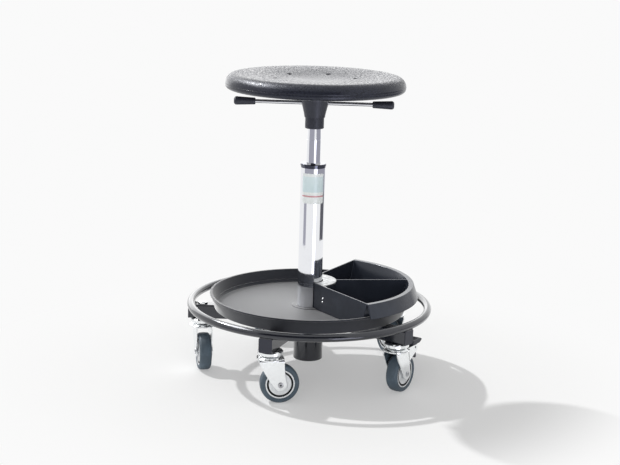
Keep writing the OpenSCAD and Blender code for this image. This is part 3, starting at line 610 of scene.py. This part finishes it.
def measured(node, middle, axis):
    """Largest radius of a CAD node about an axis, and its farthest reach along it."""
    points = np.array([v.co for v in NODES[node].data.vertices], float) - np.array(middle)
    along = points @ np.array(axis)
    return np.linalg.norm(points - np.outer(along, axis), axis=1).max(), along.max()


def soft_step(x):
    """Smooth step of x from 0 to 1."""
    x = np.clip(x, 0, 1)
    return x * x * (3 - 2 * x)


class CreeperStep:
    """What every step of the making shares."""

    bl_options = {"REGISTER", "UNDO"}

    def execute(self, context):
        self.make()
        return {"FINISHED"}


class CREEPER_OT_cushion(CreeperStep, bpy.types.Operator):
    """Make the foam cushion: its rolled edge, dish, parting line and vents"""

    bl_idname = "creeper.cushion"
    bl_label = "Cushion"

    def make(self):
        size = settings("cushion")
        low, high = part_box("seat_cushion")
        board_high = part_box("seat_board")[1]
        edge_r, top, foot = high.x, high.z, low.z
        board_r = board_high.x + 0.4 * MM
        flat_r = edge_r - size.roll

        # Spokes bunch towards the vents: a sine that repeats once a vent pulls each spoke back or on.
        turn = np.arange(CUSHION_SPOKES) / CUSHION_SPOKES * TURN
        pull = 0.62 / size.vents
        turn = turn - pull * np.sin(size.vents * (turn - size.vent_turn))

        # Rings bunch towards the vents' circle as a cubic. The profile (r, h) is a cosine dish, then quarter circles
        # for the roll and the tuck, with the parting line's half circle between them, then the recess for the board.
        near = np.linspace(-1, 1, 85)
        rings = size.vent_ring + (0.18 * near + 0.82 * near**3) * size.vent_ring
        rings = np.append(rings[rings < flat_r], np.linspace(rings[rings < flat_r][-1], flat_r, 5)[1:])
        roll = np.linspace(0, pi / 2, 18)[1:]
        tuck = np.linspace(0, pi / 2, 10)[1:]
        line = foot + size.tuck + 1.5 * MM
        bead = np.linspace(0, pi, 7)
        r = np.concatenate([
            rings,
            flat_r + size.roll * np.sin(roll[:-1]),
            edge_r - size.parting + size.parting * np.sin(bead),
            edge_r - size.tuck + size.tuck * np.cos(tuck),
            [(edge_r + board_r) / 2 - size.tuck / 2, board_r, board_r, 0],
        ])
        h = np.concatenate([
            top - size.dish * (1 + np.cos(pi * rings / flat_r)) / 2,
            top - size.roll + size.roll * np.cos(roll[:-1]),
            line + size.parting * np.cos(bead),
            foot + size.tuck - size.tuck * np.sin(tuck),
            [foot, foot, board_high.z + 0.3 * MM, board_high.z + 0.3 * MM],
        ])
        x, y = r[:, None] * np.cos(turn), r[:, None] * np.sin(turn)
        z = h[:, None] + 0 * x
        above = (np.arange(len(r)) < len(rings) + len(roll))[:, None]

        # Rings near a vent's rim are drawn onto its circle by a bell curve of their distance from it. A smooth step
        # then sinks the vent, in the middle of a shallow bell-shaped dent.
        for number in range(size.vents):
            angle = size.vent_turn + number * TURN / size.vents
            dx, dy = x - size.vent_ring * cos(angle), y - size.vent_ring * sin(angle)
            away = np.hypot(dx, dy) + 1e-9
            drawn = away + 0.75 * (size.vent_radius - away) * np.exp(-(((away - size.vent_radius) / (0.9 * MM)) ** 2))
            drawn = np.where(above, drawn, away)
            x, y = x + dx * (drawn / away - 1), y + dy * (drawn / away - 1)
            sink = soft_step((size.vent_radius + 0.35 * MM - drawn) / (0.6 * MM))
            dent = np.exp(-((drawn / (2.6 * size.vent_radius)) ** 2))
            z = z - above * (size.vent_depth * sink + 0.35 * MM * dent)

        # The top is a little uneven: two products of a sine of x and a sine of y, fading out towards the edge.
        broad, tight = np.sin(47 * x + 1.3) * np.sin(39 * y + 0.4), np.sin(83 * x - 2.0) * np.sin(71 * y + 2.2)
        z = z + above * 0.22 * MM * (broad + 0.6 * tight) * np.clip(1.2 - r[:, None] / edge_r, 0, 1)
        made = piece("cushion", [skin_grid(np.stack([x, y, z], -1), False, True)], ["cushion"], "seat", radians(60))
        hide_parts("seat_cushion")


class CREEPER_OT_seat_mechanism(CreeperStep, bpy.types.Operator):
    """Dress the cone, collar, seat plate, its screws and the grips under the cushion"""

    bl_idname = "creeper.seat_mechanism"
    bl_label = "Seat Mechanism"

    def make(self):
        for node, width in (("collar", 0.4), ("seat_plate", 0.5), ("seat_screws", 0.3), ("cone_cover", 0.3)):
            eased(node, width * MM)
        for side in ("left", "right"):
            eased("grip_" + side, 0.3 * MM)


class CREEPER_OT_column(CreeperStep, bpy.types.Operator):
    """Dress the column's cap in darker chrome, and wrap the plain label round the column"""

    bl_idname = "creeper.column"
    bl_label = "Column"

    def make(self):
        eased("column_cap", 0.25 * MM).data.materials[0] = finish("dark_chrome")
        detail = settings("detail")
        column_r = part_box("column_tube")[1].x
        thick, corner = 0.15 * MM, 3 * MM

        # The label is a patch of a cylinder: angle and height are even in u and v, and the half angle shrinks near
        # the top and foot as a quarter circle does, which rounds the corners. Its outermost rows dip into the tube.
        u = np.linspace(-1, 1, 45)
        v = np.concatenate([[0], (1 - np.cos(np.linspace(0, pi, 33))) / 2, [1]])
        height = detail.label_high - detail.label_low
        v_gap = np.minimum(v, 1 - v) * height
        inset = corner - np.sqrt(np.clip(corner**2 - np.clip(corner - v_gap, 0, corner) ** 2, 0, None))
        half = detail.label_half - inset / column_r
        u = np.concatenate([[u[0]], u, [u[-1]]])
        angle = detail.label_turn + u[None, :] * half[:, None]
        r = np.full(angle.shape, column_r + thick)
        r[0], r[-1], r[:, 0], r[:, -1] = (column_r - thick,) * 4
        z = detail.label_low + v[:, None] * height + 0 * angle
        grid = np.stack([r * np.cos(angle), r * np.sin(angle), z], -1)
        piece("plain_label", [skin_grid(grid, False, False)], ["label"], "base", radians(60))


class CREEPER_OT_base(CreeperStep, bpy.types.Operator):
    """Dress the hub, plugs and castor bolts, and lay the weld beads that join legs, hub and foot ring"""

    bl_idname = "creeper.base"
    bl_label = "Base"

    def bead(self, path, out):
        """A weld bead along a path: a rippled ring of radius r (1 + a cos(2 pi s / p)), closed in at both ends."""
        detail = settings("detail")
        step = np.linalg.norm(np.diff(path, axis=0), axis=1)
        s = np.concatenate([[0], np.cumsum(step)])
        even = np.linspace(0, s[-1], max(12, int(s[-1] / (detail.ripple / 5))))
        path = np.stack([np.interp(even, s, path[:, i]) for i in range(3)], 1)
        out = np.stack([np.interp(even, s, out[:, i]) for i in range(3)], 1)
        along = np.gradient(path, axis=0)
        along /= np.linalg.norm(along, axis=1)[:, None]
        side = np.cross(along, out)
        ends = np.sqrt(np.clip(np.minimum(even, s[-1] - even) / detail.bead, 0, 1))
        radius = detail.bead * (1 + 0.11 * np.cos(TURN * even / detail.ripple)) * ends
        t = np.arange(BEAD_SIDES) / BEAD_SIDES * TURN
        ring = np.cos(t)[None, :, None] * side[:, None] + np.sin(t)[None, :, None] * out[:, None]
        return skin_grid(path[:, None] + radius[:, None, None] * ring, False, True)

    def make(self):
        for node in ("hub_tube", "leg_plugs", "castor_bolts"):
            eased(node, 0.5 * MM)
        ring_low, ring_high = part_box("foot_ring")
        hub_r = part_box("hub_tube")[1].x
        tube = (ring_high.z - ring_low.z) / 2
        ring_r = ring_high.x - tube
        leg_low, leg_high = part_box("leg_1")
        half, leg_top, leg_foot = leg_high.y, leg_high.z, leg_low.z
        beads = []
        across_ring, along_leg = 20, 15
        first = atan2(leg_low.y + leg_high.y, leg_low.x + leg_high.x)
        for number in CASTORS:
            heading = first + (number - 1) * TURN / 5
            turn = np.array(Matrix.Rotation(heading, 3, "Z"))

            # On each side of the foot ring: an arc across the leg's top, x = sqrt(reach squared - y squared).
            for side in (-1, 1):
                y = np.linspace(-half + 1 * MM, half - 1 * MM, across_ring)
                reach = ring_r + side * 0.62 * tube
                x = np.sqrt(reach**2 - y**2)
                path = np.stack([x, y, 0 * y + leg_top + 0.6 * MM], 1) @ turn.T
                out = np.tile(np.array([side * 0.7, 0, 0.7]), (across_ring, 1)) @ turn.T
                beads.append(self.bead(path, out))

            # Round the leg's end: down one side, across underneath and up the other, laid on the hub's cylinder.
            t = np.linspace(0, 1, along_leg)
            down = np.stack([0 * t + half, leg_top - 4 * MM - t * (leg_top - leg_foot - 7 * MM)], 1)
            across = np.stack([(half - 3 * MM) * (1 - 2 * t), 0 * t + leg_foot], 1)
            loop = np.concatenate([down, across, down[::-1] * (-1, 1)])
            x = np.sqrt(hub_r**2 - loop[:, 0] ** 2)
            path = np.c_[x, loop] @ turn.T
            out = np.repeat([(0.5, 0.85, 0), (0.5, 0, -0.85), (0.5, -0.85, 0)], along_leg, axis=0)
            beads.append(self.bead(path, out @ turn.T))
        piece("weld_beads", beads, ["steel_black"], "base")


class CREEPER_OT_tray(CreeperStep, bpy.types.Operator):
    """Dress the round tray and the lift-out tool box with its plate and rivets"""

    bl_idname = "creeper.tray"
    bl_label = "Tray and Tool Box"

    def make(self):
        for node, width in (("tray", 0.8), ("plate_rivets", 0.2)):
            eased(node, width * MM)
        eased("tool_box", 0.9 * MM).data.materials[0] = finish("box_plastic")
        eased("corner_plate", 0.35 * MM).data.materials[0] = finish("dull_zinc")


class CREEPER_OT_castors(CreeperStep, bpy.types.Operator):
    """Make the wheels and tyres, and dress the forks, heads and the brake"""

    bl_idname = "creeper.castors"
    bl_label = "Castors"

    def wheel(self, number):
        """Rim and tyre of one castor: two closed profiles spun about its axle, the same on both sides."""
        joint = JOINTS[f"wheel_{number}_roll"]
        middle, axis = joint["pos_m"], joint["axis"]
        tyre_r, tyre_half = measured(f"tyre_{number}", middle, axis)
        rim_r, rim_half = measured(f"wheel_rim_{number}", middle, axis)
        face = rim_half - 1.6 * MM
        ring, disc = rim_r - 3.0 * MM, rim_r - 6.4 * MM
        corners = [
            (4.2 * MM, face + 1.3 * MM, 0.3 * MM), (6.7 * MM, face + 1.3 * MM, 0.5 * MM), (7.2 * MM, face, 0.5 * MM),
            (0.7 * disc, face - 0.2 * MM, 0), (disc - 0.3 * MM, face - 0.7 * MM, 0.6 * MM),
            (disc, face - 3.4 * MM, 0.4 * MM), (ring, face - 3.4 * MM, 0.4 * MM),
            (ring + 0.2 * MM, face - 0.2 * MM, 0.4 * MM), (rim_r - 0.2 * MM, face, 0.4 * MM), (rim_r, face - 2 * MM, 0),
        ]
        corners += [(r, -h, f) for r, h, f in corners[::-1]]
        profile = rounded(corners)
        r, h = profile.T
        # The groove between disc and ring takes the recess finish, black painted shade for its depth.
        dark = (r > disc - 0.1 * MM) & (r < ring + 0.1 * MM) & (np.abs(h) < face - MM)
        bands = np.repeat((dark | np.roll(dark, -1)).astype(int), WHEEL_SPOKES)
        rim = set_about(spun(profile, WHEEL_SPOKES), middle, axis)
        made = piece(f"wheel_rim_{number}_shaped", [rim], ["grey_plastic", "recess"], f"wheel_{number}", bands=bands)
        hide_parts(f"wheel_rim_{number}")

        side = [
            (rim_r, tyre_half - 2.4 * MM, 0), (rim_r + 0.6 * MM, tyre_half - 0.8 * MM, 0.4 * MM),
            (rim_r + 2.2 * MM, tyre_half - 0.25 * MM, 0.5 * MM), (rim_r + 3.0 * MM, tyre_half - 0.7 * MM, 0.4 * MM),
            (tyre_r - 3.4 * MM, tyre_half - 0.4 * MM, 1.6 * MM), (tyre_r - 0.7 * MM, tyre_half - 3.6 * MM, 2.4 * MM),
            (tyre_r, 0.9 * MM, 2.0 * MM),
        ]
        corners = side + [(r, -h, f) for r, h, f in side[::-1]]
        tyre = set_about(spun(rounded(corners, 5), TYRE_SPOKES), middle, axis)
        made = piece(f"tyre_{number}_shaped", [tyre], ["tyre"], f"wheel_{number}")
        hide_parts(f"tyre_{number}")

    def axle(self, number):
        """The axle of one castor, spun: a rod between two riveted heads with a drilled middle painted black as shade.
        """
        joint = JOINTS[f"wheel_{number}_roll"]
        head_r, half = measured(f"wheel_axle_{number}", joint["pos_m"], joint["axis"])
        corners = [
            (0, half - 0.8 * MM, 0), (1.7 * MM, half - 0.8 * MM, 0.2 * MM), (2.0 * MM, half - 0.1 * MM, 0.2 * MM),
            (head_r - 0.9 * MM, half, 0), (head_r, half - 0.5 * MM, 0), (head_r, half - 1.6 * MM, 0),
            (head_r - 1.5 * MM, half - 1.6 * MM, 0),
        ]
        profile = rounded(corners + [(r, -h, f) for r, h, f in corners[::-1]])
        # The floor of the drilled middle takes the recess finish: black painted shade.
        shaded_hole = (profile[:-1, 0] < 1.9 * MM) & (np.abs(profile[:-1, 1]) < half - 0.4 * MM)
        bands = np.repeat(shaded_hole.astype(int), AXLE_SPOKES)
        rod = set_about(spun(profile, AXLE_SPOKES, False), joint["pos_m"], joint["axis"])
        made = piece(f"wheel_axle_{number}_shaped", [rod], ["steel", "recess"], f"fork_{number}", bands=bands)
        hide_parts(f"wheel_axle_{number}")

    def make(self):
        for number in CASTORS:
            self.wheel(number)
            self.axle(number)
            eased(f"castor_fork_{number}", 0.5 * MM)
            eased(f"castor_head_{number}", 0.4 * MM)
        eased("brake_pedal", 0.5 * MM)


class CREEPER_OT_finishes(CreeperStep, bpy.types.Operator):
    """Give every CAD node that is left showing its finish"""

    bl_idname = "creeper.finishes"
    bl_label = "Finishes"

    def make(self):
        for node, shape in NODES.items():
            if not shape.hide_render:
                shape.data.materials[0] = finish(slot_of(node))


# Sheets on the studio's floor that reflections alone see: name, nearest and farthest reach in metres, first and last
# direction in degrees, glow. Their blue is a little stronger than their grey.
FLOOR_CARDS = (
    ("sheet_right_near", 1.21, 1.9, -5, 46, 0.12),
    ("sheet_right_far", 1.9, 7.0, -50, 50, 0.34),
    ("sheet_lit_front", 0.45, 4.2, -72, -50, 2.8),
    ("sheet_left_near", 1.15, 1.9, 190, 218, 0.40),
    ("sheet_left_far", 1.9, 7.0, 188, 277, 0.38),
)
FLOOR_BLUE = 1.15

# The card that the cushion's left roll reflects: its middle, then its directions along and up
LEFT_CARD = np.array([(-1.99, 0.61, 2.76), (-0.29, -0.96, 0.0), (0.68, -0.21, 0.7)])


class CREEPER_OT_stage(CreeperStep, bpy.types.Operator):
    """Set the camera, the pale floor, the soft light and the cards that glossy faces reflect"""

    bl_idname = "creeper.stage"
    bl_label = "Stage"

    def camera(self, stage):
        """A camera that looks down by pitch and leans by roll."""
        shot = stood("camera", bpy.data.cameras.new("camera"))
        shot.data.sensor_width = 36
        shot.data.lens = stage.lens
        shot.data.clip_start, shot.data.clip_end = 0.1, 200
        level = cos(stage.pitch)
        ahead = Vector((sin(stage.heading) * level, cos(stage.heading) * level, -sin(stage.pitch)))
        right = Vector((cos(stage.heading), -sin(stage.heading), 0))
        up = right.cross(ahead)
        lean_right = right * cos(stage.roll) + up * sin(stage.roll)
        lean_up = up * cos(stage.roll) - right * sin(stage.roll)
        facing = Matrix((lean_right, lean_up, -ahead)).transposed().to_4x4()
        shot.matrix_world = Matrix.Translation(stage.camera_place) @ facing
        bpy.context.scene.camera = shot

    def floor(self, stage):
        """A wide round floor that takes on the shadows and turns into the plain backdrop some way off."""
        recipe = Recipe(bpy.data.materials.new("stage_floor"))
        lit = recipe.add("ShaderNodeBsdfDiffuse", {}, Color=(0.90, 0.90, 0.895, 1.0))
        plain = recipe.add("ShaderNodeEmission", {}, Color=BACKDROP, Strength=1.0)
        x, y = recipe.axis(0), recipe.axis(1)
        far = ((x * x + y * y) ** 0.5).over(stage.fade_from, stage.fade_to)
        share = stage.paper + (1 - stage.paper) * far
        mixed = recipe.add("ShaderNodeMixShader", {}, share * recipe.ray("Camera", "Glossy"), lit, plain)
        recipe.add("ShaderNodeOutputMaterial", {}, mixed)
        t = np.arange(FLOOR_SPOKES) / FLOOR_SPOKES * TURN
        r = np.array([0, 0.5, 1, 2, 4, 10, 40])[:, None]
        grid = np.stack([r * np.cos(t), r * np.sin(t), 0 * r * t], -1)
        points, quads = skin_grid(grid, False, True)
        mesh = meshed("floor", points, quads[:, ::-1])
        mesh.materials.append(recipe.owner)
        stood("floor", mesh)

    def world(self, stage):
        """Soft light all round, in place of which the camera and glossy or clear faces see a plain pale room."""
        world = bpy.data.worlds.new("room")
        bpy.context.scene.world = world
        recipe = Recipe(world)
        seen = recipe.ray("Camera", "Glossy", "Transmission")
        light = recipe.add("ShaderNodeBackground", {}, Color=WHITE, Strength=stage.dome_power)
        room = recipe.add("ShaderNodeBackground", {}, Color=BACKDROP, Strength=1.0)
        recipe.add("ShaderNodeOutputWorld", {}, recipe.add("ShaderNodeMixShader", {}, seen, light, room))

    def card(self, name, grid, glow):
        """A card over a grid of points that only reflections see."""
        mesh = meshed(name, *skin_grid(grid, False, False))
        recipe = Recipe(bpy.data.materials.new(name))
        light = recipe.add("ShaderNodeEmission", {}, Color=(*glow, 1.0), Strength=1.0)
        recipe.add("ShaderNodeOutputMaterial", {}, light)
        mesh.materials.append(recipe.owner)
        made = stood(name, mesh)
        made.visible_camera = made.visible_diffuse = made.visible_shadow = made.visible_transmission = False

    def cards(self, stage):
        """Ring sectors on the floor, x = r cos t and y = r sin t, two upright cards and a leaning one."""
        for name, near, far, start, end, grey in FLOOR_CARDS:
            turn = np.radians(np.linspace(start, end, 25))
            r = np.array([near, far])[:, None]
            grid = np.stack([r * np.cos(turn), r * np.sin(turn), 0 * r * turn + 3 * MM], -1)
            self.card(name, grid, (grey, grey, FLOOR_BLUE * grey))
        x, z = np.meshgrid((-2.0, 1.4), (0.05, 2.1))
        self.card("white_card_back", np.stack([x, 0 * x + 2.2, z], -1), [stage.back_glow] * 3)
        along, up = np.meshgrid((-1.3, 1.3), (-0.5, 0.5))
        grid = LEFT_CARD[0] + along[..., None] * LEFT_CARD[1] + up[..., None] * LEFT_CARD[2]
        self.card("white_card_left", grid, [stage.left_glow] * 3)
        x, z = np.meshgrid((-3.2, 2.4), (0.2, 3.6))
        self.card("dark_card_front", np.stack([x, 0 * x - 3.3, z], -1), (0.06, 0.06, 0.075))

    def soft_box(self, name, place, size, power):
        """A wide soft light that faces the seat's column and that the camera doesn't see."""
        box = stood(name, bpy.data.lights.new(name, "AREA"))
        box.data.shape = "RECTANGLE"
        box.data.size, box.data.size_y = size
        box.data.energy = power
        box.location = place
        box.rotation_mode = "QUATERNION"
        box.rotation_quaternion = (box.location - Vector((0, 0, 0.45))).to_track_quat("Z", "Y")
        box.visible_camera = False
        return box

    def make(self):
        stage = settings("stage")
        self.camera(stage)
        self.floor(stage)
        self.world(stage)
        sun = stood("key_light", bpy.data.lights.new("key_light", "SUN"))
        sun.data.energy = stage.key_power
        sun.data.angle = radians(1.8)
        sun.rotation_mode = "QUATERNION"
        sun.rotation_quaternion = Vector(stage.key_direction).to_track_quat("Z", "Y")
        self.soft_box("back_light", (-0.5, 1.9, 1.0), (2.8, 1.5), stage.back_power)
        self.soft_box("front_light", (-0.2, -3.3, 1.3), (2.6, 1.6), stage.front_power).visible_glossy = False
        self.cards(stage)
        bpy.context.scene.view_settings.view_transform = "Standard"


STEPS = (
    CREEPER_OT_cushion,
    CREEPER_OT_seat_mechanism,
    CREEPER_OT_column,
    CREEPER_OT_base,
    CREEPER_OT_tray,
    CREEPER_OT_castors,
    CREEPER_OT_finishes,
    CREEPER_OT_stage,
)
GROUPS = {"cushion": CushionSettings, "detail": DetailSettings, "colours": ColourSettings, "stage": StageSettings}


class CREEPER_PT_panel(bpy.types.Panel):
    """Lists the steps and their settings"""

    bl_label = "Creeper Seat"
    bl_idname = "CREEPER_PT_panel"
    bl_space_type = "VIEW_3D"
    bl_region_type = "UI"
    bl_category = "Creeper Seat"

    def draw(self, context):
        for step in STEPS:
            self.layout.operator(step.bl_idname)
        for kind, group in GROUPS.items():
            box = self.layout.box()
            box.label(text=kind.capitalize())
            for name in group.__annotations__:
                box.prop(settings(kind), name)


def register():
    for kind, group in GROUPS.items():
        bpy.utils.register_class(group)
        setattr(bpy.types.Scene, "creeper_" + kind, PointerProperty(type=group))
    for step in STEPS:
        bpy.utils.register_class(step)
    bpy.utils.register_class(CREEPER_PT_panel)


def unregister():
    bpy.utils.unregister_class(CREEPER_PT_panel)
    for step in reversed(STEPS):
        bpy.utils.unregister_class(step)
    for kind, group in GROUPS.items():
        delattr(bpy.types.Scene, "creeper_" + kind)
        bpy.utils.unregister_class(group)


def main():
    """Makes everything in order."""
    register()
    for step in STEPS:
        group, name = step.bl_idname.split(".")
        getattr(getattr(bpy.ops, group), name)()


if __name__ == "__main__":
    main()
